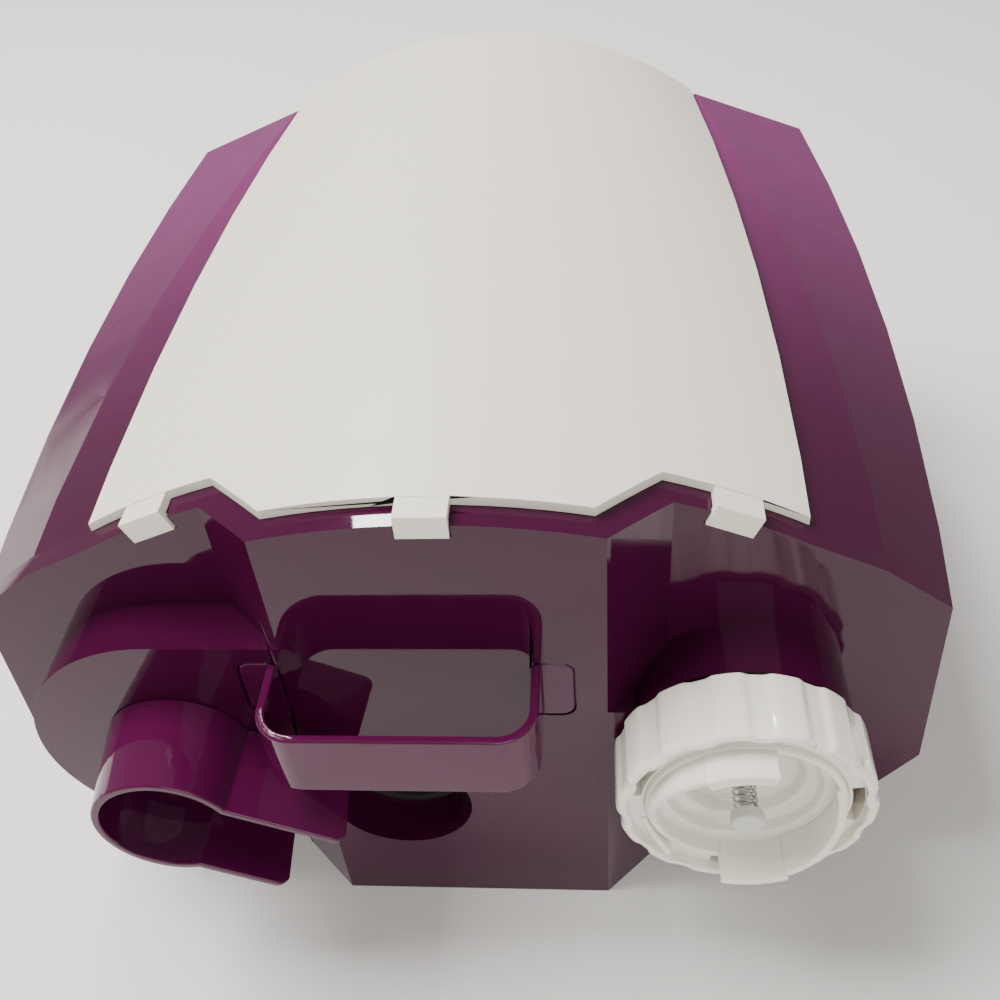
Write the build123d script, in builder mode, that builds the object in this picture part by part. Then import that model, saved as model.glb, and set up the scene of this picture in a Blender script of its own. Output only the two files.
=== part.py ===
"""Recovery and clean-water tank of a carpet cleaner, lying on its back as it is put down to drain.

X runs across the tank, +Y from the port face to the far end, +Z up from the keel to the arched cover.
In the machine the tank stands on its port face, so +Y is up while it works. Units are millimetres.
"""
import os
from math import cos, radians, sin

from build123d import *

# Driving dimensions
SPOUT_REACH = 26.5        # how far the inlet spout and the cap's lugs stand in front of the port face
TANK_DEPTH = 256.0        # port face to the far end
PORT_Y = -(TANK_DEPTH - SPOUT_REACH) / 2   # the port face, with the whole tank centred on the origin
WALL = 2.4                # moulded wall
COVER_THICKNESS = 2.8
COVER_GAP = 0.1            # the cover rests on the tank with this much air under it
BULGE_HALF = 40.5         # half width of the middle of the port face
FACET_HALF = 56.0         # where the 45 degree facets end
WING_SETBACK = 15.0       # the wings lie this far behind the port face
SKIRT = 6.5               # depth of the rim round the port plate
ARCH_RISE_FRONT = 22.9    # height of the cover's arch above its side edges
ARCH_RISE_REAR = 24.8

SOCKET_END = 14.0          # the suction socket's end, behind the port face
STACK_R = 22.5             # outside of the socket and of the air stack behind it

# Ports, as (x, z) on the port face
INLET = (-75.0, 75.5)
OUTLET = (-18.5, 48.0)
VALVE = (74.5, 78.4)
OUTLET_R = 20.3
INLET_R = 17.5
LOBE_R = 41.0
BOSS_R = 30.0

# Locating loop
LOOP_LEFT, LOOP_RIGHT = -44.5, 24.2
LOOP_LOW, LOOP_HIGH = 90.5, 111.0
LOOP_REACH = 23.5
LOOP_WALL = 2.3
EAR_WIDTH = 8.2
EAR_DEPTH = 1.3
GAP = 0.35

# Valve cap
CAP_R = 32.3
CAP_BACK, CAP_FRONT = 1.8, 20.3   # distances in front of the port face
NECK_R = 24.3
NECK_REACH = 11.0
STEM_R = 1.5
PRESS = 5.0                # travel of the plunger

os.makedirs("parts", exist_ok=True)


def ahead(distance):
    """The plane parallel to the port face and this far in front of it; local x, y are X, Z."""
    return Plane((0, PORT_Y - distance, 0), x_dir=(1, 0, 0), z_dir=(0, -1, 0))


def finish(builder, name):
    """Labels a finished piece and writes it."""
    builder.part.label = name
    export_step(builder.part, f"parts/{name}.step")


# ---------------------------------------------------------------- the tank's outer form

class Station:
    """One cross-section of the tank, half of it, from the cover's edge down to the keel."""

    def __init__(self, y, edge, crease, shoulder, flank, under, root, keel_half, rise):
        self.y = y
        self.edge = edge
        self.crease = crease
        self.shoulder = shoulder
        self.flank = flank
        self.under = under
        self.root = root
        self.keel_half = keel_half
        self.rise = rise

    def outline(self, inset):
        """Corner points of the right half, moved inwards by inset."""
        return [
            (self.edge[0] - 0.3 * inset, self.edge[1] - COVER_THICKNESS - inset),
            (self.crease[0] - 0.5 * inset, self.crease[1] - 0.9 * inset),
            (self.shoulder[0] - inset, self.shoulder[1] - 0.5 * inset),
            (self.flank[0] - inset, self.flank[1] + 0.4 * inset),
            (self.under[0] - 0.4 * inset, self.under[1] + inset),
            (self.root[0] - inset, self.root[1] + inset),
            (self.keel_half - inset, inset - (0 if inset else 3.0)),
        ]

    def apex(self, inset):
        return self.edge[1] + self.rise - COVER_THICKNESS - inset


FRONT = Station(0, (88.4, 138.4), (107.0, 126.2), (123.9, 113.0), (127.4, 52.0), (118.5, 39.0),
                (58.0, 33.0), FACET_HALF, ARCH_RISE_FRONT)
MIDDLE = Station(118, (87.2, 145.6), (103.2, 137.0), (128.8, 122.8), (130.0, 56.0), (120.5, 42.0),
                 (57.0, 34.0), FACET_HALF, 23.6)
REAR = Station(246, (75.2, 150.4), (77.0, 148.6), (117.8, 133.0), (119.0, 62.0), (110.0, 48.0),
               (54.0, 37.0), 53.0, ARCH_RISE_REAR)
END_INSET = 7.0
STATION_COUNT = 7


def blended(near, middle, far, y):
    """The value at y on the parabola through the three stations' values."""
    y0, y1, y2 = FRONT.y, MIDDLE.y, REAR.y
    near_share = (y - y1) * (y - y2) / ((y0 - y1) * (y0 - y2))
    middle_share = (y - y0) * (y - y2) / ((y1 - y0) * (y1 - y2))
    far_share = (y - y0) * (y - y1) / ((y2 - y0) * (y2 - y1))
    return near_share * near + middle_share * middle + far_share * far


def station_at(y):
    """The tank's section at y, on smooth curves through the three measured ones."""
    def corner(name):
        ends = zip(getattr(FRONT, name), getattr(MIDDLE, name), getattr(REAR, name))
        return tuple(blended(*values, y) for values in ends)

    corners = [corner(name) for name in ("edge", "crease", "shoulder", "flank", "under", "root")]
    keel_half = blended(FRONT.keel_half, MIDDLE.keel_half, REAR.keel_half, y)
    return Station(y, *corners, keel_half, blended(FRONT.rise, MIDDLE.rise, REAR.rise, y))


STATIONS = [station_at(REAR.y * step / (STATION_COUNT - 1)) for step in range(STATION_COUNT)]


def cross_section(station, inset, y=None):
    """One closed cross-section of the tank, as a sketch."""
    right = station.outline(inset)
    left = [(-x, z) for x, z in reversed(right)]
    with BuildSketch(ahead(-(station.y if y is None else y))) as section:
        with BuildLine():
            ThreePointArc(left[-1], (0, station.apex(inset)), right[0])
            Polyline(*right, *left)
        make_face()
    return section.sketch


def tank_form(inset):
    """The tank as one solid: a loft through the stations, closed by a bevelled end."""
    with BuildPart() as form:
        loft(sections=[cross_section(station, inset) for station in STATIONS], ruled=True)
    with BuildPart() as end:
        end_wall = cross_section(REAR, inset + END_INSET, TANK_DEPTH - inset)
        loft(sections=[cross_section(REAR, inset), end_wall], ruled=True)
    with BuildPart() as whole:
        add(form.part)
        add(end.part)
        with Locations((0, 0, -10)):
            Box(400, 400, 20, mode=Mode.SUBTRACT)
    return whole.part


def plan_line(offset):
    """The port face seen from above, from right to left, moved back by offset."""
    slant = 0.41 * offset
    half = [
        (200, PORT_Y + WING_SETBACK + offset),
        (FACET_HALF - slant, PORT_Y + WING_SETBACK + offset),
        (BULGE_HALF - slant, PORT_Y + offset),
    ]
    return half + [(-x, y) for x, y in reversed(half)]


def plan_sheet(near, far):
    """Sketch of the ground between two copies of the port face line."""
    with BuildSketch(Plane.XY.offset(-5)) as ground:
        with BuildLine():
            Polyline(*plan_line(near), *reversed(plan_line(far)), close=True)
        make_face()
    return ground.sketch


outer_form = tank_form(0)
inner_form = tank_form(WALL)

# ---------------------------------------------------------------- port plate

with BuildPart() as plate_cavity:
    add(inner_form)
    extrude(plan_sheet(WALL, 60), amount=260, mode=Mode.INTERSECT)


def lobe_outline(inset):
    """The raised pad round the inlet: a round lobe run into the middle of the port face."""
    lobe_width = -BULGE_HALF - INLET[0]
    with BuildSketch(ahead(-inset)) as outline:
        with Locations(INLET):
            Circle(LOBE_R - inset)
        with Locations((INLET[0] + lobe_width / 2, INLET[1])):
            Rectangle(lobe_width, 2 * (LOBE_R - inset))
    return outline.sketch


def boss_outline(inset):
    """The raised pad behind the cap: a round boss with a bevelled corner towards the middle."""
    with BuildSketch(ahead(-inset)) as outline:
        with Locations(VALVE):
            Circle(BOSS_R - inset)
        with BuildLine():
            Polyline(
                (BULGE_HALF, 91.5 - inset),
                (49.5, 91.2 - inset),
                (58.5 + 0.6 * inset, 103.0 - inset),
                VALVE,
                (VALVE[0], VALVE[1] - BOSS_R + inset),
                (BULGE_HALF, VALVE[1] - BOSS_R + inset),
                close=True,
            )
        make_face()
    return outline.sketch


def ear_outline(gap):
    """The loop's two ears on the port face, widened by gap for the recesses that take them."""
    with BuildSketch(ahead(0)) as ears:
        for side, edge in ((-1, LOOP_LEFT), (1, LOOP_RIGHT)):
            with Locations((edge + side * (EAR_WIDTH - LOOP_WALL) / 2, (LOOP_LOW + LOOP_HIGH) / 2)):
                RectangleRounded(EAR_WIDTH + LOOP_WALL + 2 * gap, LOOP_HIGH - LOOP_LOW + 2 * gap, 3.6 + gap)
    return ears.sketch


with BuildPart() as port_plate:
    add(outer_form)
    extrude(plan_sheet(0, SKIRT), amount=260, mode=Mode.INTERSECT)
    add(plate_cavity.part, mode=Mode.SUBTRACT)
    extrude(lobe_outline(0), amount=-WING_SETBACK - WALL)
    extrude(boss_outline(0), amount=-WING_SETBACK - WALL)
    extrude(lobe_outline(WALL), amount=-WING_SETBACK - SKIRT, mode=Mode.SUBTRACT)
    extrude(boss_outline(WALL), amount=-WING_SETBACK - SKIRT, mode=Mode.SUBTRACT)
    # the bulge's cavity runs on behind the pads
    add(plate_cavity.part, mode=Mode.SUBTRACT)
    # neck for the valve cap
    with BuildSketch(ahead(0)):
        with Locations(VALVE):
            Circle(NECK_R)
    extrude(amount=NECK_REACH)
    with BuildSketch(ahead(NECK_REACH)):
        with Locations(VALVE):
            Circle(NECK_R - 2.5)
    extrude(amount=-NECK_REACH - WALL, mode=Mode.SUBTRACT)
    # socket that takes the machine's suction spigot
    with BuildSketch(ahead(-WALL / 2)):
        with Locations(OUTLET):
            Circle(STACK_R)
    extrude(amount=-(SOCKET_END - WALL / 2))
    with BuildSketch(ahead(0)):
        with Locations(OUTLET):
            Circle(OUTLET_R)
    extrude(amount=-20, mode=Mode.SUBTRACT)
    with BuildSketch(ahead(0)):
        with Locations(INLET):
            Circle(INLET_R)
    extrude(amount=-WALL, mode=Mode.SUBTRACT)
    # recesses for the ears of the locating loop
    extrude(ear_outline(GAP), amount=-EAR_DEPTH, mode=Mode.SUBTRACT)

# ---------------------------------------------------------------- cover with its snap tabs

TAB_WIDTH = 12.2
TAB_DROP = 6.5
TAB_TOP = 2.4
SIDE_TAB_X = 71.5
COVER_END = 250.0


def cover_top(x):
    """Height of the cover's outer face over the port face's line, a circular arch."""
    half = FRONT.edge[0]
    radius = (half ** 2 + ARCH_RISE_FRONT ** 2) / (2 * ARCH_RISE_FRONT)
    centre = FRONT.edge[1] + ARCH_RISE_FRONT - radius
    return centre + (radius ** 2 - x ** 2) ** 0.5


def tab_frame(x):
    """Frame at a snap tab: local x to the back, local y up and square to the arch."""
    half = FRONT.edge[0]
    radius = (half ** 2 + ARCH_RISE_FRONT ** 2) / (2 * ARCH_RISE_FRONT)
    tilt = x / radius
    setback = WING_SETBACK if abs(x) > FACET_HALF else 0
    rake = (MIDDLE.edge[1] - FRONT.edge[1]) / MIDDLE.y
    origin = (x, PORT_Y + setback, cover_top(x) + rake * setback + 0.3)
    return Plane(origin, x_dir=(0, 1, 0), z_dir=(cos(tilt), 0, -sin(tilt)))


def arch_strip(station, y=None):
    """Cross-section of the cover: the strip between the tank's top and the arch above it."""
    half, low = station.edge
    top = low + station.rise
    thickness = COVER_THICKNESS - COVER_GAP
    with BuildSketch(ahead(-(station.y if y is None else y))) as strip:
        with BuildLine():
            ThreePointArc((-half, low), (0, top), (half, low))
            Line((half, low), (half, low - thickness))
            ThreePointArc((half, low - thickness), (0, top - thickness), (-half, low - thickness))
            Line((-half, low - thickness), (-half, low))
        make_face()
    return strip.sketch


with BuildPart() as front_cover:
    loft(sections=[arch_strip(station) for station in STATIONS], ruled=True)
    extrude(plan_sheet(SKIRT - 0.5, COVER_END), amount=260, mode=Mode.INTERSECT)
    for x in (-SIDE_TAB_X, 0, SIDE_TAB_X):
        with BuildSketch(tab_frame(x)):
            with BuildLine():
                Polyline(
                    (8, 0), (-0.8, 0), (-0.8, -TAB_DROP), (1.2, -TAB_DROP), (1.2, -TAB_TOP), (8, -TAB_TOP),
                    close=True,
                )
            make_face()
        extrude(amount=TAB_WIDTH / 2, both=True)

with BuildPart() as plate_notched:
    add(port_plate.part)
    for x in (-SIDE_TAB_X, 0, SIDE_TAB_X):
        with BuildSketch(tab_frame(x)):
            with BuildLine():
                Polyline(
                    (9, 4), (-3, 4), (-3, -TAB_DROP - GAP), (1.2, -TAB_DROP - GAP), (1.2, -TAB_TOP),
                    (9, -TAB_TOP), close=True,
                )
            make_face()
        extrude(amount=TAB_WIDTH / 2 + GAP, both=True, mode=Mode.SUBTRACT)
finish(plate_notched, "port_plate")
finish(front_cover, "front_cover")

# ---------------------------------------------------------------- tank shell

with BuildPart() as tank_shell:
    add(outer_form)
    add(inner_form, mode=Mode.SUBTRACT)
    extrude(plan_sheet(SKIRT, 400), amount=260, mode=Mode.INTERSECT)
finish(tank_shell, "tank_shell")

# ---------------------------------------------------------------- locating loop with its two ears

LOOP_CORNER = 10.0


def loop_plan(inset):
    """The loop seen from above: square to the port face, round at its two outer corners."""
    reach = LOOP_REACH - inset
    with BuildSketch(Plane.XY.offset(LOOP_LOW)) as plan:
        with Locations(((LOOP_RIGHT + LOOP_LEFT) / 2, PORT_Y - reach / 2)):
            Rectangle(LOOP_RIGHT - LOOP_LEFT - 2 * inset, reach)
        fillet(plan.vertices().group_by(Axis.Y)[0], LOOP_CORNER - inset)
    return plan.sketch


with BuildPart() as locating_loop:
    extrude(loop_plan(0), amount=LOOP_HIGH - LOOP_LOW)
    extrude(loop_plan(LOOP_WALL), amount=LOOP_HIGH - LOOP_LOW, mode=Mode.SUBTRACT)
    extrude(ear_outline(0), amount=-EAR_DEPTH)
finish(locating_loop, "locating_loop")

# ---------------------------------------------------------------- inlet spout with its flap

SPOUT_R = 21.0            # at the port face
MOUTH_R = 19.5            # at the open end
MOUTH_SHIFT = (2.6, 1.2)  # the open end's centre against the inlet axis
SPOUT_WALL = 2.2
CHANNEL_HALF = 15.6       # half height of the open channel beside the round part
CHANNEL_TURN = -26.0      # degrees, downwards to the right
CHANNEL_TOP = 43.5        # how far the upper and lower walls reach from the axis
CHANNEL_BOTTOM = 35.5
SEAT = 7.2                # back of the flap's seat, ahead of the port face
SEAT_THICKNESS = 1.4
FLAP_R = 14.5
FLAP_THICKNESS = 1.2
PIN_AHEAD = 5.2           # the flap's pin, ahead of the port face
PIN_LIFT = 14.6           # and above the seat's centre
PIN_R = 0.8
PIN_HALF = 7.8
EYE_R = 1.7
EYE_HALF = 5.9


def spout_centre(distance):
    """Centre of the spout's round part at a distance ahead of the port face."""
    share = distance / SPOUT_REACH
    return (INLET[0] + share * MOUTH_SHIFT[0], INLET[1] + share * MOUTH_SHIFT[1])


def spout_round(distance, inset):
    """Section of the spout's round part alone."""
    radius = SPOUT_R + (MOUTH_R - SPOUT_R) * distance / SPOUT_REACH - inset
    with BuildSketch(ahead(distance)) as section:
        with Locations(spout_centre(distance)):
            Circle(radius)
    return section.sketch


def spout_channel(distance, inset, beyond):
    """Section of the slanting channel beside the round part."""
    half = CHANNEL_HALF - inset
    corners = [
        (0, half),
        (CHANNEL_TOP + beyond, half),
        (CHANNEL_BOTTOM + beyond, -half),
        (0, -half),
    ]
    with BuildSketch(ahead(distance)) as section:
        with Locations(Location((*spout_centre(distance), 0), (0, 0, CHANNEL_TURN))):
            Polygon(*corners, align=None)
    return section.sketch


seat_centre = spout_centre(SEAT)
pin_line = Plane((seat_centre[0], PORT_Y - PIN_AHEAD, seat_centre[1] + PIN_LIFT), x_dir=(0, 1, 0), z_dir=(1, 0, 0))


def pin_section(radius):
    """A round section on the flap pin's line, half way along the pin."""
    with BuildSketch(pin_line) as section:
        Circle(radius)
    return section.sketch


with BuildPart() as inlet_duct:
    loft(sections=[spout_round(0, 0), spout_round(SPOUT_REACH, 0)])
    loft(sections=[spout_channel(0, 0, 0), spout_channel(SPOUT_REACH, 0, 0)], ruled=True)
    loft(sections=[spout_round(0, SPOUT_WALL), spout_round(SPOUT_REACH, SPOUT_WALL)], mode=Mode.SUBTRACT)
    opening = [spout_channel(0, SPOUT_WALL, 5), spout_channel(SPOUT_REACH, SPOUT_WALL, 5)]
    loft(sections=opening, ruled=True, mode=Mode.SUBTRACT)
    wall_ends = inlet_duct.edges().filter_by(lambda edge: abs(edge.length - SPOUT_WALL) < 0.6)
    fillet(wall_ends.group_by(Axis.Y)[0], 3.0)
finish(inlet_duct, "inlet_duct")

with BuildPart() as flap_seat:
    loft(sections=[spout_round(0, SPOUT_WALL), spout_round(SPOUT_REACH, SPOUT_WALL)])
    with BuildSketch(ahead(SEAT)):
        Rectangle(400, 400)
    extrude(amount=SEAT_THICKNESS, mode=Mode.INTERSECT)
    with BuildSketch(ahead(SEAT)):
        with Locations(seat_centre):
            Circle(FLAP_R - 1.5)
    extrude(amount=SEAT_THICKNESS, mode=Mode.SUBTRACT)
    # two ears carry the pin
    with BuildSketch(ahead(SEAT)):
        for side in (-1, 1):
            with Locations((seat_centre[0] + side * 7.0, seat_centre[1] + PIN_LIFT + 0.4)):
                Rectangle(1.6, 3.2)
    extrude(amount=-4.0)
    extrude(pin_section(PIN_R), amount=PIN_HALF + 1, both=True, mode=Mode.SUBTRACT)
finish(flap_seat, "flap_seat")

with BuildPart() as flap_pin:
    extrude(pin_section(PIN_R), amount=PIN_HALF, both=True)
finish(flap_pin, "flap_pin")

with BuildPart() as inlet_flap:
    with BuildSketch(ahead(SEAT - 0.3)):
        with Locations(seat_centre):
            Circle(FLAP_R)
    extrude(amount=-FLAP_THICKNESS)
    extrude(pin_section(EYE_R), amount=EYE_HALF, both=True)
    extrude(pin_section(PIN_R + 0.05), amount=EYE_HALF + 1, both=True, mode=Mode.SUBTRACT)
finish(inlet_flap, "inlet_flap")

# ---------------------------------------------------------------- riser that lifts the dirty water

RISER_R = 19.5
RISER_END = 205.0
HOOD_R = 22.0
HOOD_BACK = 190.0
HOOD_END = 226.0


def ring(centre, outer, inner, distance):
    """A flat ring parallel to the port face, at a distance in front of it."""
    with BuildSketch(ahead(distance)) as section:
        with Locations(centre):
            Circle(outer)
            Circle(inner, mode=Mode.SUBTRACT)
    return section.sketch


def disc(centre, radius, distance):
    """A flat disc parallel to the port face, at a distance in front of it."""
    with BuildSketch(ahead(distance)) as section:
        with Locations(centre):
            Circle(radius)
    return section.sketch


with BuildPart() as inlet_riser:
    extrude(ring(INLET, RISER_R, INLET_R, -WALL), amount=-(RISER_END - WALL))
finish(inlet_riser, "inlet_riser")

with BuildPart() as riser_hood:
    extrude(disc(INLET, HOOD_R, -HOOD_BACK), amount=-(HOOD_END - HOOD_BACK))
    extrude(disc(INLET, RISER_R + 0.05, -HOOD_BACK), amount=-(RISER_END - HOOD_BACK), mode=Mode.SUBTRACT)
    extrude(disc(INLET, INLET_R, -HOOD_BACK), amount=-(HOOD_END - HOOD_BACK - 2.0), mode=Mode.SUBTRACT)
    # side window, turned away from the air stack
    with BuildSketch(ahead(-RISER_END - 2)):
        with Locations((INLET[0] - HOOD_R, INLET[1])):
            Rectangle(28, 26)
    extrude(amount=-15, mode=Mode.SUBTRACT)
finish(riser_hood, "riser_hood")

# ---------------------------------------------------------------- air stack, float and its cage

GASKET = 2.0               # thickness of the ring between the socket and the stack
STACK_BORE = 18.3
STACK_END = 200.0
HEAD_HEIGHT = 26.0
CAGE = (-18.5, 92.0)
CAGE_R = 17.0
CAGE_BORE = 15.2
CAGE_START = 165.0
FLOAT_R = 13.0
FLOAT_START = 167.6
FLOAT_HEIGHT = 18.4
FLOAT_PORT = 10.0

with BuildPart() as outlet_gasket:
    extrude(ring(OUTLET, STACK_R, STACK_BORE - 0.6, -SOCKET_END), amount=-GASKET)
finish(outlet_gasket, "outlet_gasket")

with BuildPart() as air_stack:
    stack_start = SOCKET_END + GASKET
    extrude(ring(OUTLET, STACK_R, STACK_BORE, -stack_start), amount=-(STACK_END - stack_start))
finish(air_stack, "air_stack")


def head_outline(inset):
    """The hollow head that spans the stack and the float cage."""
    low = OUTLET[1] - STACK_R
    high = CAGE[1] + CAGE_R + 2
    with BuildSketch(ahead(-STACK_END - inset)) as outline:
        with Locations((OUTLET[0], (low + high) / 2)):
            RectangleRounded(2 * (STACK_R - inset), high - low - 2 * inset, STACK_R - inset - 1)
    return outline.sketch


with BuildPart() as stack_head:
    extrude(head_outline(0), amount=-HEAD_HEIGHT)
    extrude(head_outline(2.0), amount=-(HEAD_HEIGHT - 4.0), mode=Mode.SUBTRACT)
    extrude(disc(OUTLET, STACK_BORE, -STACK_END), amount=-2.0, mode=Mode.SUBTRACT)
    extrude(disc(CAGE, FLOAT_PORT, -STACK_END), amount=-2.0, mode=Mode.SUBTRACT)
finish(stack_head, "stack_head")

with BuildPart() as float_cage:
    extrude(ring(CAGE, CAGE_R, CAGE_BORE, -CAGE_START), amount=-(STACK_END - CAGE_START))
    extrude(ring(CAGE, CAGE_BORE + 0.5, 5.0, -CAGE_START), amount=-2.0)
    # four upright slots let the water in
    with BuildSketch(ahead(-CAGE_START - 5)):
        with Locations(CAGE):
            Rectangle(2 * CAGE_R + 4, 9)
            Rectangle(9, 2 * CAGE_R + 4)
    extrude(amount=-(STACK_END - CAGE_START - 10), mode=Mode.SUBTRACT)
finish(float_cage, "float_cage")

with BuildPart() as shutoff_float:
    extrude(disc(CAGE, FLOAT_R, -FLOAT_START), amount=-FLOAT_HEIGHT)
    fillet(shutoff_float.edges().filter_by(GeomType.CIRCLE), 3.0)
finish(shutoff_float, "shutoff_float")

# ---------------------------------------------------------------- wall between the two chambers

DIVIDER_X = 28.0

with BuildPart() as chamber_divider:
    add(inner_form)
    extrude(plan_sheet(WALL, 400), amount=260, mode=Mode.INTERSECT)
    with Locations((DIVIDER_X + WALL / 2, 0, 100)):
        Box(WALL, 400, 400, mode=Mode.INTERSECT)
finish(chamber_divider, "chamber_divider")

# ---------------------------------------------------------------- valve cap

SKIRT_BORE = 29.3
FLUTES = 14
FLUTE_R = 14.0
FLUTE_DEPTH = 0.9
CAP_FLOOR = 12.5           # back of the cap's inner floor, ahead of the port face
CAP_FLOOR_THICKNESS = 2.0
SLEEVE_R = 27.2
SLEEVE_BORE = NECK_R + 0.3
INSERT_R = 25.0
INSERT_BORE = 22.8


def around(centre, radius, degrees_from_x):
    """A point on a circle round centre."""
    angle = radians(degrees_from_x)
    return (centre[0] + radius * cos(angle), centre[1] + radius * sin(angle))


def arc_slot(inner, outer, start, sweep, distance):
    """A slot bent round the valve axis, between two angles."""
    with BuildSketch(ahead(distance)) as slot:
        with BuildLine():
            middle = start + sweep / 2
            end = start + sweep
            ThreePointArc(around(VALVE, outer, start), around(VALVE, outer, middle), around(VALVE, outer, end))
            Line(around(VALVE, outer, end), around(VALVE, inner, end))
            ThreePointArc(around(VALVE, inner, end), around(VALVE, inner, middle), around(VALVE, inner, start))
            Line(around(VALVE, inner, start), around(VALVE, outer, start))
        make_face()
    return slot.sketch


with BuildPart() as valve_cap:
    with BuildSketch(ahead(CAP_BACK)):
        with Locations(VALVE):
            Circle(CAP_R)
            with PolarLocations(CAP_R - FLUTE_DEPTH + FLUTE_R, FLUTES, start_angle=10):
                Circle(FLUTE_R, mode=Mode.SUBTRACT)
            Circle(SKIRT_BORE, mode=Mode.SUBTRACT)
    extrude(amount=CAP_FRONT - CAP_BACK)
    floor = ring(VALVE, SKIRT_BORE + 0.5, INSERT_R + 0.05, CAP_FLOOR)
    extrude(floor, amount=CAP_FLOOR_THICKNESS)
    extrude(ring(VALVE, SLEEVE_R, SLEEVE_BORE, CAP_BACK), amount=CAP_FLOOR - CAP_BACK)
    for start in (-15, 75, 145, 255):
        slot = arc_slot(INSERT_R + 1.0, SKIRT_BORE - 0.4, start, 30, CAP_FLOOR)
        extrude(slot, amount=CAP_FLOOR_THICKNESS, mode=Mode.SUBTRACT)
finish(valve_cap, "valve_cap")

with BuildPart() as cap_gasket:
    extrude(ring(VALVE, NECK_R, NECK_R - 2.4, NECK_REACH), amount=CAP_FLOOR - NECK_REACH)
finish(cap_gasket, "cap_gasket")

# ---------------------------------------------------------------- valve insert and plunger

CUP_R = 21.3
CUP_BORE = 19.3
RING_FRONT = 20.0
LUG_WIDTH = 17.0
LUG_TURN = 8.0
LUG_BORE = 21.0
LUG_BACK = 16.0
HUB_R = 6.0
HUB_FRONT = 9.0            # the spring stands on the hub's front face
PORT_R = 5.0
VENT = (VALVE[0], VALVE[1] + 13.0)
VENT_STEM_R = 1.2
HEAD_R = 4.2
HEAD_LENGTH = 3.4
HEAD_FRONT = 24.0
STEM_END = -6.0

with BuildPart() as valve_insert:
    extrude(ring(VALVE, INSERT_R, INSERT_BORE, CAP_FLOOR), amount=RING_FRONT - CAP_FLOOR)
    extrude(ring(VALVE, INSERT_R, CUP_BORE, CAP_FLOOR), amount=CAP_FLOOR_THICKNESS)
    extrude(ring(VALVE, CUP_R, CUP_BORE, 0), amount=CAP_FLOOR)
    # guide floor with its hub, and a step round it
    extrude(ring(VALVE, CUP_BORE + 0.5, STEM_R + 0.1, HUB_FRONT - 2), amount=2)
    extrude(ring(VALVE, CUP_BORE + 0.5, CUP_BORE - 4, HUB_FRONT), amount=2)
    extrude(ring(VALVE, HUB_R, STEM_R + 0.1, 3), amount=HUB_FRONT - 3)
    # seat floor with the port that the plunger's seal shuts
    extrude(ring(VALVE, CUP_BORE + 0.5, PORT_R, 0), amount=2)
    extrude(disc(VENT, VENT_STEM_R, 0), amount=2, mode=Mode.SUBTRACT)
    with BuildSketch(ahead(HUB_FRONT - 2)):
        with Locations(VALVE):
            with PolarLocations(11, 6, start_angle=30):
                Circle(2.6)
    extrude(amount=2, mode=Mode.SUBTRACT)
    # two lugs that trip the machine's own valve
    with BuildSketch(ahead(LUG_BACK)):
        with Locations(Location((*VALVE, 0), (0, 0, LUG_TURN))):
            Circle(INSERT_R - 0.4)
            Circle(LUG_BORE, mode=Mode.SUBTRACT)
            Rectangle(LUG_WIDTH, 3 * INSERT_R, mode=Mode.INTERSECT)
    extrude(amount=SPOUT_REACH - LUG_BACK)
finish(valve_insert, "valve_insert")

with BuildPart() as umbrella_valve:
    extrude(disc(VENT, 4.5, 0), amount=-1.2)
    extrude(disc(VENT, VENT_STEM_R, 0), amount=3.5)
finish(umbrella_valve, "umbrella_valve")

with BuildPart() as valve_plunger:
    extrude(disc(VALVE, STEM_R, STEM_END), amount=HEAD_FRONT - 1 - STEM_END)
    extrude(disc(VALVE, HEAD_R, HEAD_FRONT - HEAD_LENGTH), amount=HEAD_LENGTH)
    chamfer(valve_plunger.faces().sort_by(Axis.Y)[0].edges(), 0.8)
finish(valve_plunger, "valve_plunger")

with BuildPart() as plunger_seal:
    extrude(ring(VALVE, 7.5, STEM_R, -0.1), amount=-2.4)
finish(plunger_seal, "plunger_seal")

with BuildPart() as plunger_clip:
    extrude(ring(VALVE, 3.2, STEM_R, -2.5), amount=-1.2)
finish(plunger_clip, "plunger_clip")

# ---------------------------------------------------------------- plunger spring

SPRING_R = 2.8
WIRE_R = 0.35
SPRING_TURNS = 5.5

spring_length = HEAD_FRONT - HEAD_LENGTH - HUB_FRONT - 2 * WIRE_R - 0.1
spring_start = (VALVE[0], PORT_Y - HUB_FRONT - WIRE_R - 0.05, VALVE[1])
with BuildPart() as valve_spring:
    with BuildLine() as coil:
        Helix(spring_length / SPRING_TURNS, spring_length, SPRING_R, center=spring_start, direction=(0, -1, 0))
    with BuildSketch(Plane(coil.line @ 0, z_dir=coil.line % 0)):
        Circle(WIRE_R)
    sweep(is_frenet=True)
finish(valve_spring, "valve_spring")
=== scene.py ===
"""Removable tank of a carpet cleaner, lying on its back: finish, small detail, floor, light and camera."""
from math import cos, pi, radians, sin, tau

import bmesh
import bpy
from mathutils import Matrix, Vector


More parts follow.
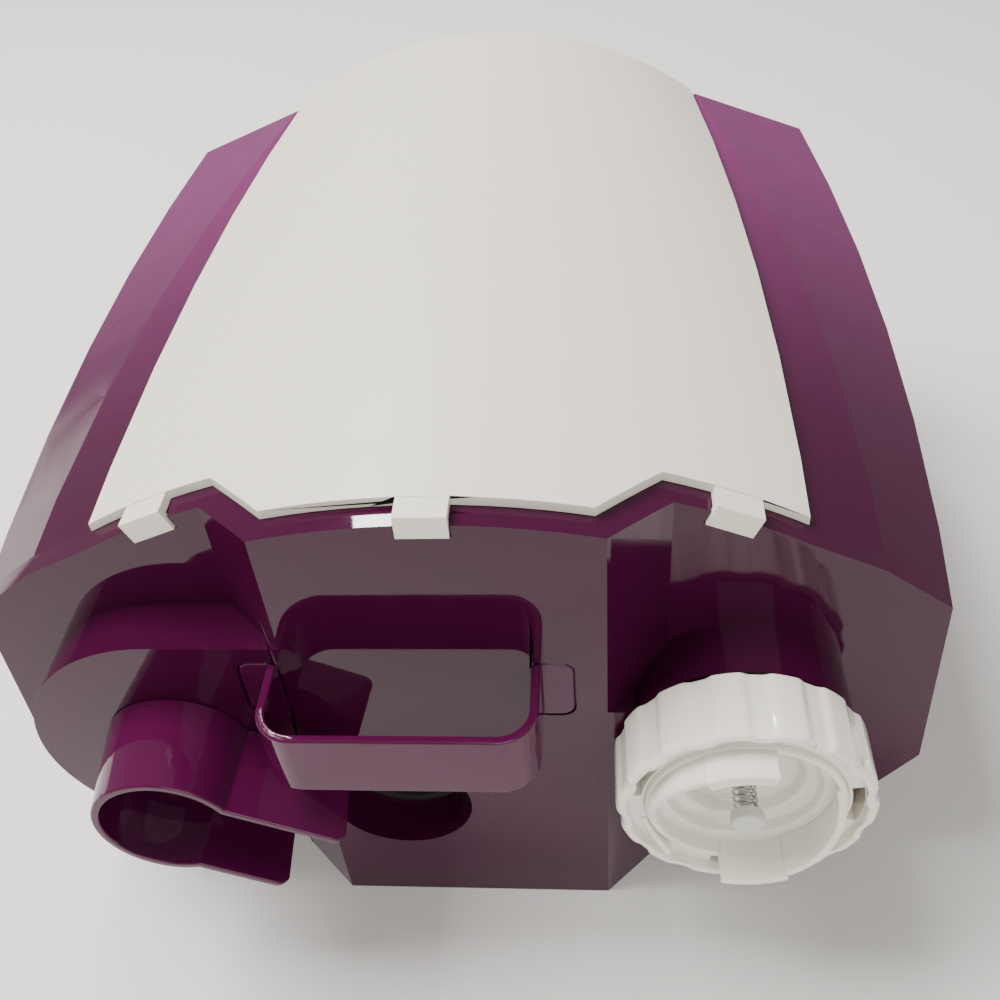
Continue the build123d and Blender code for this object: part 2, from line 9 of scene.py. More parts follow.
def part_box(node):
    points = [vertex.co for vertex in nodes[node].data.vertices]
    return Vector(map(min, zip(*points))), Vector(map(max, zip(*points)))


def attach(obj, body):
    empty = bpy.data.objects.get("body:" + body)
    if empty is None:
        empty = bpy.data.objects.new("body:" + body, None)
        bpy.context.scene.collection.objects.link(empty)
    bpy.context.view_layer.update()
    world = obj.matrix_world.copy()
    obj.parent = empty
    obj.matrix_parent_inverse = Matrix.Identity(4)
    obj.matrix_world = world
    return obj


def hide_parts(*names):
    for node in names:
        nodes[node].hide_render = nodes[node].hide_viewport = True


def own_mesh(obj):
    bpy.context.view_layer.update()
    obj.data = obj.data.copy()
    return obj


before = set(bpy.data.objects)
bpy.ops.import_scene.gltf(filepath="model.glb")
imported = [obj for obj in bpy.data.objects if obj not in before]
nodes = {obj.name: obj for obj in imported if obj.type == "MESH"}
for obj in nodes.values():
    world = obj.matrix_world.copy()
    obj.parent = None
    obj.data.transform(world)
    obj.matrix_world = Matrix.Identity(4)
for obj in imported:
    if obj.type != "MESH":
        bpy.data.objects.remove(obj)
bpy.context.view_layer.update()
MM = 0.001

# ------------------------------------------------------------------ tank shell
# The vessel itself: one big injection moulding in deep purple translucent plastic, polished in the
# mould, with the far end drawn in. It is welded to the port plate all round the skirt.


def new_material(name, colour, roughness):
    """A Principled material; returns the material, its nodes, its links and its shader."""
    material = bpy.data.materials.new(name)
    material.use_nodes = True
    tree = material.node_tree
    shader = tree.nodes["Principled BSDF"]
    shader.inputs["Base Color"].default_value = (*colour, 1)
    shader.inputs["Roughness"].default_value = roughness
    return material, tree.nodes, tree.links, shader


def make_moulding_group():
    """Fine unevenness of a moulded surface: a slow ripple, fine grain and faint handling marks."""
    group = bpy.data.node_groups.new("moulded_surface", "ShaderNodeTree")
    face = group.interface
    face.new_socket("Vector", in_out="INPUT", socket_type="NodeSocketVector")
    face.new_socket("Grain Scale", in_out="INPUT", socket_type="NodeSocketFloat")
    face.new_socket("Roughness Low", in_out="INPUT", socket_type="NodeSocketFloat")
    face.new_socket("Roughness High", in_out="INPUT", socket_type="NodeSocketFloat")
    face.new_socket("Roughness", in_out="OUTPUT", socket_type="NodeSocketFloat")
    face.new_socket("Height", in_out="OUTPUT", socket_type="NodeSocketFloat")
    face.new_socket("Marks", in_out="OUTPUT", socket_type="NodeSocketFloat")
    n, link = group.nodes, group.links
    given = n.new("NodeGroupInput")
    out = n.new("NodeGroupOutput")
    ripple = n.new("ShaderNodeTexNoise")
    ripple.inputs["Scale"].default_value = 28.0
    ripple.inputs["Detail"].default_value = 2.0
    grain = n.new("ShaderNodeTexNoise")
    grain.inputs["Detail"].default_value = 4.0
    marks = n.new("ShaderNodeTexNoise")
    marks.inputs["Scale"].default_value = 60.0
    marks.inputs["Detail"].default_value = 8.0
    marks.inputs["Roughness"].default_value = 0.7
    sharpen = n.new("ShaderNodeMapRange")
    sharpen.inputs["From Min"].default_value = 0.52
    sharpen.inputs["From Max"].default_value = 0.72
    spread = n.new("ShaderNodeMapRange")
    height = n.new("ShaderNodeMath")
    height.operation = "MULTIPLY_ADD"
    height.inputs[1].default_value = 0.12
    for texture in (ripple, grain, marks):
        link.new(given.outputs["Vector"], texture.inputs["Vector"])
    link.new(given.outputs["Grain Scale"], grain.inputs["Scale"])
    link.new(marks.outputs["Fac"], sharpen.inputs["Value"])
    link.new(sharpen.outputs["Result"], spread.inputs["Value"])
    link.new(given.outputs["Roughness Low"], spread.inputs["To Min"])
    link.new(given.outputs["Roughness High"], spread.inputs["To Max"])
    link.new(grain.outputs["Fac"], height.inputs[0])
    link.new(ripple.outputs["Fac"], height.inputs[2])
    link.new(spread.outputs["Result"], out.inputs["Roughness"])
    link.new(height.outputs["Value"], out.inputs["Height"])
    link.new(sharpen.outputs["Result"], out.inputs["Marks"])
    return group


moulded_surface = make_moulding_group()


def mould_finish(tree_nodes, links, shader, grain_scale, low, high, bump):
    """Puts the moulded surface on a shader's roughness and normal; returns the group node."""
    place = tree_nodes.new("ShaderNodeTexCoord")
    surface = tree_nodes.new("ShaderNodeGroup")
    surface.node_tree = moulded_surface
    surface.inputs["Grain Scale"].default_value = grain_scale
    surface.inputs["Roughness Low"].default_value = low
    surface.inputs["Roughness High"].default_value = high
    relief = tree_nodes.new("ShaderNodeBump")
    relief.inputs["Strength"].default_value = bump
    relief.inputs["Distance"].default_value = 0.0004
    links.new(place.outputs["Object"], surface.inputs["Vector"])
    links.new(surface.outputs["Roughness"], shader.inputs["Roughness"])
    links.new(surface.outputs["Height"], relief.inputs["Height"])
    links.new(relief.outputs["Normal"], shader.inputs["Normal"])
    return surface


def purple_plastic(name, dark, light, near, far):
    """Deep purple translucent plastic, darker over the pieces behind the port face at y near and
    brighter towards y far: a painted glow for the light that comes through the empty tank."""
    material, n, links, shader = new_material(name, dark, 0.06)
    shader.inputs["IOR"].default_value = 1.5
    shader.inputs["Specular IOR Level"].default_value = 0.34
    surface = mould_finish(n, links, shader, 900.0, 0.035, 0.09, 0.05)
    place = n.new("ShaderNodeTexCoord")
    split = n.new("ShaderNodeSeparateXYZ")
    depth = n.new("ShaderNodeMapRange")
    depth.interpolation_type = "SMOOTHSTEP"
    depth.inputs["From Min"].default_value = near
    depth.inputs["From Max"].default_value = far
    # Painted glow: the colour brightens towards y far to stand in for light through the tank.
    painted_glow = n.new("ShaderNodeMix")
    painted_glow.data_type = "RGBA"
    painted_glow.inputs["A"].default_value = (*dark, 1)
    painted_glow.inputs["B"].default_value = (*light, 1)
    drift = n.new("ShaderNodeMix")
    drift.data_type = "RGBA"
    drift.blend_type = "MULTIPLY"
    drift.inputs["B"].default_value = (1.12, 1.2, 1.15, 1)
    links.new(place.outputs["Object"], split.inputs["Vector"])
    links.new(split.outputs["Y"], depth.inputs["Value"])
    links.new(depth.outputs["Result"], painted_glow.inputs["Factor"])
    links.new(painted_glow.outputs["Result"], drift.inputs["A"])
    links.new(surface.outputs["Marks"], drift.inputs["Factor"])
    links.new(drift.outputs["Result"], shader.inputs["Base Color"])
    return material


# The tank's purple, with a painted glow towards its far end for the light through the tank.
tank_purple = purple_plastic("tank_purple", (0.039, 0.0019, 0.0215), (0.135, 0.021, 0.098), -0.09, 0.125)


def refined_copy(node, name, radius, steps=2, sharp=30.0, clamp=True):
    """A merged copy of a CAD node with its edges rounded; clamp shrinks the rounding to the shortest edge."""
    mesh = nodes[node].data.copy()
    mesh.name = name
    form = bmesh.new()
    form.from_mesh(mesh)
    bmesh.ops.remove_doubles(form, verts=form.verts, dist=2e-6)
    bmesh.ops.dissolve_limit(form, angle_limit=radians(0.4), verts=form.verts, edges=form.edges)
    form.to_mesh(mesh)
    form.free()
    mesh.materials.clear()
    piece = bpy.data.objects.new(name, mesh)
    bpy.context.scene.collection.objects.link(piece)
    edge = piece.modifiers.new("rounded_edges", "BEVEL")
    edge.width = radius
    edge.segments = steps
    edge.limit_method = "ANGLE"
    edge.angle_limit = radians(sharp)
    edge.use_clamp_overlap = clamp
    return piece


def keep_result(piece):
    """Turns a piece's modifiers into plain mesh."""
    graph = bpy.context.evaluated_depsgraph_get()
    done = bpy.data.meshes.new_from_object(piece.evaluated_get(graph))
    piece.modifiers.clear()
    piece.data = done
    return done


def apply_modifiers(piece, sharp=45.0, weight=100):
    """Keeps the rounded mesh, shaded by its large faces; a weight of 50 blends neighbours of one size."""
    done = keep_result(piece)
    for face in done.polygons:
        face.use_smooth = True
    done.set_sharp_from_angle(angle=radians(sharp))
    weighted = piece.modifiers.new("true_faces", "WEIGHTED_NORMAL")
    weighted.keep_sharp = True
    weighted.weight = weight
    keep_result(piece)
    return piece


def fit(piece, body, material, slot_name, *replaced):
    """Gives a finished piece its material and its place in the frame."""
    piece.data.materials.clear()
    piece.data.materials.append(material)
    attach(piece, body)
    if replaced:
        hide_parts(*replaced)
    return piece


shell = apply_modifiers(refined_copy("tank_shell", "tank_shell_moulding", 0.4 * MM, 2, 9.0), 20.0, 50)
fit(shell, "tank", tank_purple, "tank_purple", "tank_shell")

# ------------------------------------------------------------------ port plate
# The stepped front of the tank in the same purple, with the lobe round the inlet, the boss behind
# the cap, the threaded neck and the suction socket moulded in. Its rim laps the shell.

plate = apply_modifiers(refined_copy("port_plate", "port_plate_moulding", 0.45 * MM, 3))
fit(plate, "tank", tank_purple, "tank_purple", "port_plate")

# ------------------------------------------------------------------ arched cover
# The warm white cover over the tank's back, satin from a finely etched mould. It hooks on at the
# front with three snap tabs in the plate's notches.

cover_white, n, links, shader = new_material("cover_white", (0.755, 0.72, 0.635), 0.42)
shader.inputs["Subsurface Weight"].default_value = 0.05
shader.inputs["Subsurface Scale"].default_value = 0.004
mould_finish(n, links, shader, 2600.0, 0.36, 0.46, 0.18)
cover = apply_modifiers(refined_copy("front_cover", "arched_cover", 0.55 * MM, 3))
fit(cover, "tank", cover_white, "cover_white", "front_cover")

# ------------------------------------------------------------------ locating loop
# A flat purple strap bent into a U and moulded with two ears that sit flush in the port face. The
# machine's tongue goes through it.

# A lighter copy of the tank's purple for the thin strap and spout: painted light for the light through their
# thin walls.
thin_purple_painted_light = purple_plastic("thin_purple_painted_light", (0.058, 0.0024, 0.033), (0.135, 0.021, 0.098), -0.11, 0.125)
loop = apply_modifiers(refined_copy("locating_loop", "locating_strap", 0.7 * MM, 4, 30.0, False))
fit(loop, "tank", thin_purple_painted_light, "tank_purple", "locating_loop")

# ------------------------------------------------------------------ inlet spout
# Round tube with a channel open to the side, in the same moulding as the plate. Its free rim is
# rounded and catches the light.

spout = apply_modifiers(refined_copy("inlet_duct", "inlet_spout", 0.6 * MM, 4, 30.0, False))
fit(spout, "tank", thin_purple_painted_light, "tank_purple", "inlet_duct")

# ------------------------------------------------------------------ flap in the spout
# A clear disc that hangs from a steel pin inside the spout and shuts it when the suction stops. The
# seat behind it is part of the purple spout.

clear_flap, n, links, shader = new_material("clear_flap", (0.86, 0.80, 0.86), 0.08)
shader.inputs["Transmission Weight"].default_value = 0.75
shader.inputs["IOR"].default_value = 1.45
mould_finish(n, links, shader, 800.0, 0.06, 0.16, 0.1)
bright_steel, n, links, shader = new_material("bright_steel", (0.36, 0.35, 0.34), 0.22)
shader.inputs["Metallic"].default_value = 1.0
mould_finish(n, links, shader, 3000.0, 0.16, 0.3, 0.15)
flap = apply_modifiers(refined_copy("inlet_flap", "clear_disc", 0.2 * MM, 2))
fit(flap, "duct_flap", clear_flap, "clear_flap", "inlet_flap")


def repaint(node, material):
    """Gives a CAD node that keeps its shape a better material."""
    mesh = nodes[node].data
    for index in range(max(1, len(mesh.materials))):
        if index < len(nodes[node].material_slots):
            nodes[node].material_slots[index].material = material
        else:
            mesh.materials.append(material)


repaint("flap_seat", tank_purple)
repaint("flap_pin", bright_steel)

# ------------------------------------------------------------------ pipes, head and float
# Inside, a riser lifts the dirty water under a hood, and an air stack draws from the head, where a
# float shuts the port before water reaches it. They are plain purple mouldings, the float is white.

for node in ("inlet_riser", "riser_hood", "air_stack", "stack_head", "float_cage", "chamber_divider"):
    repaint(node, tank_purple)
float_white, n, links, shader = new_material("float_white", (0.74, 0.74, 0.72), 0.4)
mould_finish(n, links, shader, 1500.0, 0.34, 0.5, 0.2)
repaint("shutoff_float", float_white)

# ------------------------------------------------------------------ seals
# Black rubber rings and discs: behind the suction socket, under the cap, on the plunger, and the
# small umbrella valve that lets air in.

seal_rubber, n, links, shader = new_material("seal_rubber", (0.022, 0.022, 0.022), 0.62)
mould_finish(n, links, shader, 2200.0, 0.55, 0.75, 0.3)
for node in ("outlet_gasket", "cap_gasket", "plunger_seal", "umbrella_valve"):
    repaint(node, seal_rubber)

# ------------------------------------------------------------------ valve cap
# White glossy cap with shallow flutes for the fingers. It is one moulding, lathe-round but for the
# flutes, and four curved slots in its inner floor let the core out of the mould.

cap_white, n, links, shader = new_material("cap_white", (0.80, 0.77, 0.69), 0.18)
shader.inputs["Coat Weight"].default_value = 0.5
shader.inputs["Coat Roughness"].default_value = 0.05
shader.inputs["Subsurface Weight"].default_value = 0.12
shader.inputs["Subsurface Scale"].default_value = 0.005
mould_finish(n, links, shader, 1400.0, 0.14, 0.26, 0.12)

cap_low, cap_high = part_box("valve_cap")
cap_x = (cap_low.x + cap_high.x) / 2
cap_z = (cap_low.z + cap_high.z) / 2
spout_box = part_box("inlet_duct")
port_y = spout_box[1].y


def around_cap(radius, angle, ahead):
    """The point at a radius, an angle from +X towards +Z, and a distance ahead of the port face."""
    return Vector((cap_x + radius * MM * cos(angle), port_y - ahead * MM, cap_z + radius * MM * sin(angle)))


def turned_mesh(name, profile, steps=168):
    """A closed profile of (radius, distance ahead) turned round the cap's axis."""
    form = bmesh.new()
    rings = []
    for step in range(steps):
        angle = tau * step / steps
        rings.append([form.verts.new(around_cap(radius, angle, ahead)) for radius, ahead in profile])
    for step in range(steps):
        here, there = rings[step], rings[(step + 1) % steps]
        for index in range(len(profile)):
            after = (index + 1) % len(profile)
            form.faces.new((here[index], here[after], there[after], there[index]))
    bmesh.ops.recalc_face_normals(form, faces=form.faces)
    mesh = bpy.data.meshes.new(name)
    form.to_mesh(mesh)
    form.free()
    piece = bpy.data.objects.new(name, mesh)
    bpy.context.scene.collection.objects.link(piece)
    return piece


def sector_block(name, inner, outer, start, end, back, front, steps=24):
    """A curved block between two radii and two angles; back and front give its ends at a share 0 to 1."""
    form = bmesh.new()
    rows = []
    for step in range(steps + 1):
        share = step / steps
        angle = radians(start + (end - start) * share)
        rows.append([
            form.verts.new(around_cap(outer(share), angle, back(share))),
            form.verts.new(around_cap(outer(share), angle, front(share))),
            form.verts.new(around_cap(inner(share), angle, front(share))),
            form.verts.new(around_cap(inner(share), angle, back(share))),
        ])
    for here, there in zip(rows, rows[1:]):
        for index in range(4):
            after = (index + 1) % 4
            form.faces.new((here[index], here[after], there[after], there[index]))
    form.faces.new(rows[0])
    form.faces.new(reversed(rows[-1]))
    bmesh.ops.recalc_face_normals(form, faces=form.faces)
    mesh = bpy.data.meshes.new(name)
    form.to_mesh(mesh)
    form.free()
    piece = bpy.data.objects.new(name, mesh)
    bpy.context.scene.collection.objects.link(piece)
    return piece


def carve(piece, *cutters):
    """Cuts blocks out of a piece and removes the cutters."""
    for cutter in cutters:
        cut = piece.modifiers.new("cut", "BOOLEAN")
        cut.operation = "DIFFERENCE"
        cut.solver = "EXACT"
        cut.object = cutter
    keep_result(piece)
    for cutter in cutters:
        bpy.data.objects.remove(cutter)
    return piece


def flute_tree():
    """Pushes the outside of a round skirt in at evenly spaced hollows."""
    tree = bpy.data.node_groups.new("finger_flutes", "GeometryNodeTree")
    face = tree.interface
    face.new_socket("Geometry", in_out="INPUT", socket_type="NodeSocketGeometry")
    face.new_socket("Centre", in_out="INPUT", socket_type="NodeSocketVector")
    face.new_socket("Flutes", in_out="INPUT", socket_type="NodeSocketFloat")
    face.new_socket("Depth", in_out="INPUT", socket_type="NodeSocketFloat")
    face.new_socket("Outside", in_out="INPUT", socket_type="NodeSocketFloat")
    face.new_socket("Start", in_out="INPUT", socket_type="NodeSocketFloat")
    face.new_socket("Material", in_out="INPUT", socket_type="NodeSocketMaterial")
    face.new_socket("Geometry", in_out="OUTPUT", socket_type="NodeSocketGeometry")
    n, link = tree.nodes, tree.links
    given = n.new("NodeGroupInput")
    out = n.new("NodeGroupOutput")
    where = n.new("GeometryNodeInputPosition")
    from_axis = n.new("ShaderNodeVectorMath")
    from_axis.operation = "SUBTRACT"
    flat = n.new("ShaderNodeVectorMath")
    flat.operation = "MULTIPLY"
    flat.inputs[1].default_value = (1, 0, 1)
    length = n.new("ShaderNodeVectorMath")
    length.operation = "LENGTH"
    outward = n.new("ShaderNodeVectorMath")
    outward.operation = "NORMALIZE"
    split = n.new("ShaderNodeSeparateXYZ")
    angle = n.new("ShaderNodeMath")
    angle.operation = "ARCTAN2"
    wave = n.new("ShaderNodeMath")
    wave.operation = "MULTIPLY_ADD"
    crest = n.new("ShaderNodeMath")
    crest.operation = "COSINE"
    hollow = n.new("ShaderNodeMapRange")
    hollow.interpolation_type = "SMOOTHERSTEP"
    hollow.inputs["From Min"].default_value = -0.35
    hollow.inputs["From Max"].default_value = 1.0
    depth = n.new("ShaderNodeMath")
    depth.operation = "MULTIPLY"
    inward = n.new("ShaderNodeMath")
    inward.operation = "MULTIPLY"
    inward.inputs[1].default_value = -1.0
    push = n.new("ShaderNodeVectorMath")
    push.operation = "SCALE"
    is_outside = n.new("FunctionNodeCompare")
    is_outside.operation = "GREATER_THAN"
    shift = n.new("GeometryNodeSetPosition")
    realize = n.new("GeometryNodeRealizeInstances")
    paint = n.new("GeometryNodeSetMaterial")
    link.new(where.outputs["Position"], from_axis.inputs[0])
    link.new(given.outputs["Centre"], from_axis.inputs[1])
    link.new(from_axis.outputs["Vector"], flat.inputs[0])
    link.new(flat.outputs["Vector"], length.inputs[0])
    link.new(flat.outputs["Vector"], outward.inputs[0])
    link.new(flat.outputs["Vector"], split.inputs["Vector"])
    link.new(split.outputs["Z"], angle.inputs[0])
    link.new(split.outputs["X"], angle.inputs[1])
    link.new(angle.outputs["Value"], wave.inputs[0])
    link.new(given.outputs["Flutes"], wave.inputs[1])
    link.new(given.outputs["Start"], wave.inputs[2])
    link.new(wave.outputs["Value"], crest.inputs[0])
    link.new(crest.outputs["Value"], hollow.inputs["Value"])
    link.new(hollow.outputs["Result"], depth.inputs[0])
    link.new(given.outputs["Depth"], depth.inputs[1])
    link.new(depth.outputs["Value"], inward.inputs[0])
    link.new(outward.outputs["Vector"], push.inputs[0])
    link.new(inward.outputs["Value"], push.inputs["Scale"])
    link.new(length.outputs["Value"], is_outside.inputs["A"])
    link.new(given.outputs["Outside"], is_outside.inputs["B"])
    link.new(given.outputs["Geometry"], shift.inputs["Geometry"])
    link.new(is_outside.outputs["Result"], shift.inputs["Selection"])
    link.new(push.outputs["Vector"], shift.inputs["Offset"])
    link.new(shift.outputs["Geometry"], realize.inputs["Geometry"])
    link.new(realize.outputs["Geometry"], paint.inputs["Geometry"])
    link.new(given.outputs["Material"], paint.inputs["Material"])
    link.new(paint.outputs["Geometry"], out.inputs["Geometry"])
    return tree


def run_tree(piece, tree, **values):
    """Runs a Geometry Nodes tree on a piece with named input values and keeps the plain mesh."""
    step = piece.modifiers.new(tree.name, "NODES")
    step.node_group = tree
    for item in tree.interface.items_tree:
        key = item.name.lower()
        if item.in_out == "INPUT" and key in values:
            step[item.identifier] = values[key]
    keep_result(piece)
    return piece


def constant(value):
    """A block's edge that keeps one value."""
    return lambda share: value


CAP_SKIRT = [
    (25.05, 12.5), (24.6, 12.4), (24.6, 2.0), (24.9, 1.8), (27.0, 1.8), (27.2, 2.0), (27.2, 12.4),
    (29.3, 12.5), (29.3, 2.2), (29.7, 1.8), (31.9, 1.8), (32.25, 2.15), (32.3, 2.6), (32.3, 6.0),
    (32.3, 10.0), (32.3, 14.0), (32.3, 17.6), (32.2, 18.6), (31.9, 19.4), (31.4, 19.95), (30.8, 20.2),
    (30.2, 20.3), (29.7, 20.1), (29.4, 19.6), (29.3, 18.8), (29.2, 17.9), (28.9, 17.6), (25.5, 17.4),
    (25.05, 17.1),
]
FLUTES = 14
cap = turned_mesh("fluted_cap", CAP_SKIRT, 24 * FLUTES)
run_tree(cap, flute_tree(), centre=(cap_x, 0, cap_z), flutes=float(FLUTES), depth=0.9 * MM,
         outside=29.65 * MM, start=radians(-140.0), material=cap_white)
SLOT_ANGLE = 30
slots = []
for number, start in enumerate((-15, 75, 145, 255)):
    slots.append(sector_block(f"slot_cutter_{number}", constant(26.0), constant(28.9), start,
                              start + SLOT_ANGLE, constant(12.0), constant(18.4)))
slots.append(sector_block("rim_window_cutter", constant(28.0), constant(33.5), 30, 36,
                          constant(15.2), constant(18.4)))
slots.append(sector_block("rim_notch_cutter", constant(27.0), constant(31.6), 62, 70,
                          constant(18.9), constant(21.0)))
carve(cap, *slots)
apply_modifiers(cap, 40.0)
fit(cap, "cap", cap_white, "cap_white", "valve_cap")

# ------------------------------------------------------------------ valve insert
# The stepped white bowl inside the cap. Its ring ends in two lugs that engage the machine, each run
# out into a ramp, and its hub guides the plunger.

BOWL = [
    (1.65, 9.0), (5.6, 9.0), (6.0, 8.6), (6.3, 7.4), (6.8, 7.0), (14.2, 7.0), (14.9, 7.3), (15.3, 8.0),
    (15.4, 10.2), (15.9, 10.9), (16.7, 11.1), (18.4, 11.2), (19.1, 11.6), (19.4, 12.3), (19.5, 13.7),
    (20.0, 14.3), (21.0, 14.5), (22.3, 14.6), (22.7, 15.0), (22.8, 15.8), (22.9, 18.2), (23.2, 18.65),
    (23.7, 18.8), (24.2, 18.8), (24.7, 18.65), (25.0, 18.2), (25.0, 12.5), (21.3, 12.5), (21.3, 0.4),
    (20.9, 0.0), (5.0, 0.0), (5.0, 2.2), (1.65, 2.2),
]
bowl = turned_mesh("stepped_bowl", BOWL, 144)
apply_modifiers(bowl, 50.0)
fit(bowl, "cap", cap_white, "cap_white", "valve_insert")


def rounded(piece, radius):
    """Rounds a small block's edges."""
    edge = piece.modifiers.new("rounded_edges", "BEVEL")
    edge.width = radius
    edge.segments = 3
    edge.limit_method = "ANGLE"
    edge.angle_limit = radians(40)
    return apply_modifiers(piece, 40.0)


def ramp(high, low):
    """A ramp's front edge, from high to low with a soft start."""
    return lambda share: high + (low - high) * share ** 1.6


INSERT_BACK = 14.4
LUG_HALF_ANGLE = 21
for name, middle, inner in (("upper", 98.0, 21.0), ("lower", 278.0, 22.5)):
    lug = sector_block(f"{name}_lug", constant(inner), constant(24.7), middle - LUG_HALF_ANGLE,
                       middle + LUG_HALF_ANGLE, constant(INSERT_BACK), constant(26.5))
    fit(rounded(lug, 0.8 * MM), "cap", cap_white, "cap_white")
    wing = sector_block(f"{name}_ramp", constant(22.2), constant(24.3), middle + 20, middle + 100,
                        constant(INSERT_BACK), ramp(25.6, 18.6))
    fit(rounded(wing, 0.55 * MM), "cap", cap_white, "cap_white")
fin = sector_block("side_fin", constant(25.4), constant(27.0), 196, 226, constant(14.3), ramp(18.0, 21.6))
fit(rounded(fin, 0.5 * MM), "cap", cap_white, "cap_white")

# ------------------------------------------------------------------ plunger, clip and spring
# A light grey plunger with a round button head. A thin steel spring round its stem stands on the
# bowl's hub and holds the seal shut.

plunger_grey, n, links, shader = new_material("plunger_grey", (0.56, 0.56, 0.53), 0.3)
mould_finish(n, links, shader, 1600.0, 0.24, 0.38, 0.15)
PLUNGER = [
    (0.02, -6.0), (1.3, -6.0), (1.5, -5.8), (1.5, 20.5), (1.9, 20.6), (3.8, 20.6), (4.15, 20.9), (4.2, 21.3),
    (4.2, 23.2), (4.05, 23.65), (3.7, 23.9), (3.2, 24.0), (0.02, 24.0),
]
plunger = turned_mesh("plunger_button", PLUNGER, 64)
apply_modifiers(plunger, 50.0)
fit(plunger, "plunger", plunger_grey, "plunger_grey", "valve_plunger")
repaint("plunger_clip", plunger_grey)


def spring_tree():
    """A wire coil of named sizes that stands along the cap's axis."""
    tree = bpy.data.node_groups.new("coil_spring", "GeometryNodeTree")
    face = tree.interface
    face.new_socket("Geometry", in_out="INPUT", socket_type="NodeSocketGeometry")
    face.new_socket("Turns", in_out="INPUT", socket_type="NodeSocketFloat")
    face.new_socket("Radius", in_out="INPUT", socket_type="NodeSocketFloat")
    face.new_socket("Height", in_out="INPUT", socket_type="NodeSocketFloat")
    face.new_socket("Wire", in_out="INPUT", socket_type="NodeSocketFloat")
    face.new_socket("Foot", in_out="INPUT", socket_type="NodeSocketVector")
    face.new_socket("Material", in_out="INPUT", socket_type="NodeSocketMaterial")
    face.new_socket("Geometry", in_out="OUTPUT", socket_type="NodeSocketGeometry")
    n, link = tree.nodes, tree.links
    given = n.new("NodeGroupInput")
    out = n.new("NodeGroupOutput")
    spiral = n.new("GeometryNodeCurveSpiral")
    spiral.inputs["Resolution"].default_value = 40
    section = n.new("GeometryNodeCurvePrimitiveCircle")
    section.inputs["Resolution"].default_value = 10
    tube = n.new("GeometryNodeCurveToMesh")
    tube.inputs["Fill Caps"].default_value = True
    place = n.new("GeometryNodeTransform")
    place.inputs["Rotation"].default_value = (pi / 2, 0, 0)
    realize = n.new("GeometryNodeRealizeInstances")
    smooth = n.new("GeometryNodeSetShadeSmooth")
    paint = n.new("GeometryNodeSetMaterial")
    link.new(given.outputs["Turns"], spiral.inputs["Rotations"])
    link.new(given.outputs["Radius"], spiral.inputs["Start Radius"])
    link.new(given.outputs["Radius"], spiral.inputs["End Radius"])
    link.new(given.outputs["Height"], spiral.inputs["Height"])
    link.new(given.outputs["Wire"], section.inputs["Radius"])
    link.new(spiral.outputs["Curve"], tube.inputs["Curve"])
    link.new(section.outputs["Curve"], tube.inputs["Profile Curve"])
    link.new(tube.outputs["Mesh"], place.inputs["Geometry"])
    link.new(given.outputs["Foot"], place.inputs["Translation"])
    link.new(place.outputs["Geometry"], realize.inputs["Geometry"])
    link.new(realize.outputs["Geometry"], smooth.inputs["Geometry"])
    link.new(smooth.outputs["Geometry"], paint.inputs["Geometry"])
    link.new(given.outputs["Material"], paint.inputs["Material"])
    link.new(paint.outputs["Geometry"], out.inputs["Geometry"])
    return tree


spring = bpy.data.objects.new("steel_spring", bpy.data.meshes.new("steel_spring"))
bpy.context.scene.collection.objects.link(spring)
spring_foot = around_cap(0, 0, 9.4)
run_tree(spring, spring_tree(), turns=5.5, radius=2.8 * MM, height=10.8 * MM, wire=0.33 * MM,
         foot=tuple(spring_foot), material=bright_steel)
fit(spring, "cap", bright_steel, "steel", "valve_spring")
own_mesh(spring)

# ------------------------------------------------------------------ floor, light and camera
# A pale matt floor under a soft light from the upper left. The key stays out of the reflections, and
# the fill and a small lamp behind the tank give the highlights.

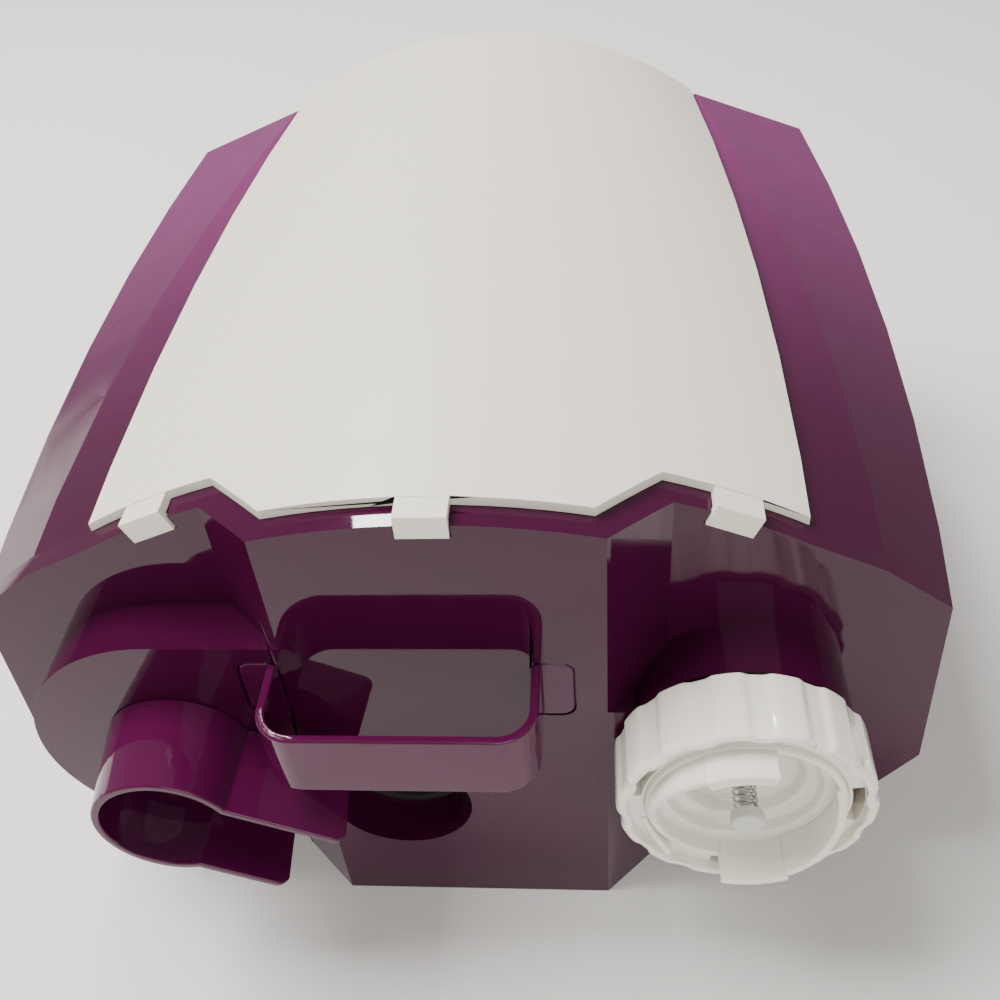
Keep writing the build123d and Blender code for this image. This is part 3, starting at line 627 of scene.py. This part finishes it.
floor_material, n, links, shader = new_material("pale_floor", (0.78, 0.775, 0.765), 0.8)
floor_mesh = bpy.data.meshes.new("floor")
REACH = 6
floor_corners = [(-REACH, -REACH, 0), (REACH, -REACH, 0), (REACH, REACH, 0), (-REACH, REACH, 0)]
floor_mesh.from_pydata(floor_corners, [], [(0, 1, 2, 3)])
floor = bpy.data.objects.new("floor", floor_mesh)
floor.data.materials.append(floor_material)
bpy.context.scene.collection.objects.link(floor)


def area_light(name, place, target, size, power, colour=(1, 1, 1)):
    """A square soft light at a place, aimed at a target."""
    lamp = bpy.data.lights.new(name, "AREA")
    lamp.size = size
    lamp.energy = power
    lamp.color = colour
    holder = bpy.data.objects.new(name, lamp)
    bpy.context.scene.collection.objects.link(holder)
    holder.location = place
    holder.rotation_euler = (Vector(target) - Vector(place)).to_track_quat("-Z", "Y").to_euler()
    return holder


key = area_light("key", (-0.75, 0.1, 1.5), (0, 0, 0.05), 0.9, 54.0, (1.0, 0.972, 0.92))
key.visible_glossy = False
area_light("fill", (0.5, -1.6, 1.2), (0, 0, 0.05), 1.4, 22.0, (1.0, 0.98, 0.95))
area_light("glint", (-0.34, 0.60, 1.02), (0, -0.1, 0.1), 0.13, 4.5)
world = bpy.data.worlds.new("room")
world.use_nodes = True
world.node_tree.nodes["Background"].inputs["Color"].default_value = (0.88, 0.84, 0.79, 1)
world.node_tree.nodes["Background"].inputs["Strength"].default_value = 0.46
bpy.context.scene.world = world

yaw, pitch, roll = radians(-6.9), radians(42.4), radians(-5.3)
forward = Vector((sin(yaw) * cos(pitch), cos(yaw) * cos(pitch), -sin(pitch)))
level = Vector((cos(yaw), -sin(yaw), 0))
upright = level.cross(forward)
right = cos(roll) * level + sin(roll) * upright
up = -sin(roll) * level + cos(roll) * upright
lens = bpy.data.cameras.new("camera")
lens.lens = 40.0
lens.sensor_width = 36.0
camera = bpy.data.objects.new("camera", lens)
bpy.context.scene.collection.objects.link(camera)
camera.matrix_world = Matrix((
    (right.x, up.x, -forward.x, 0.0389),
    (right.y, up.y, -forward.y, -0.28795),
    (right.z, up.z, -forward.z, 0.3251),
    (0, 0, 0, 1),
))
bpy.context.scene.camera = camera
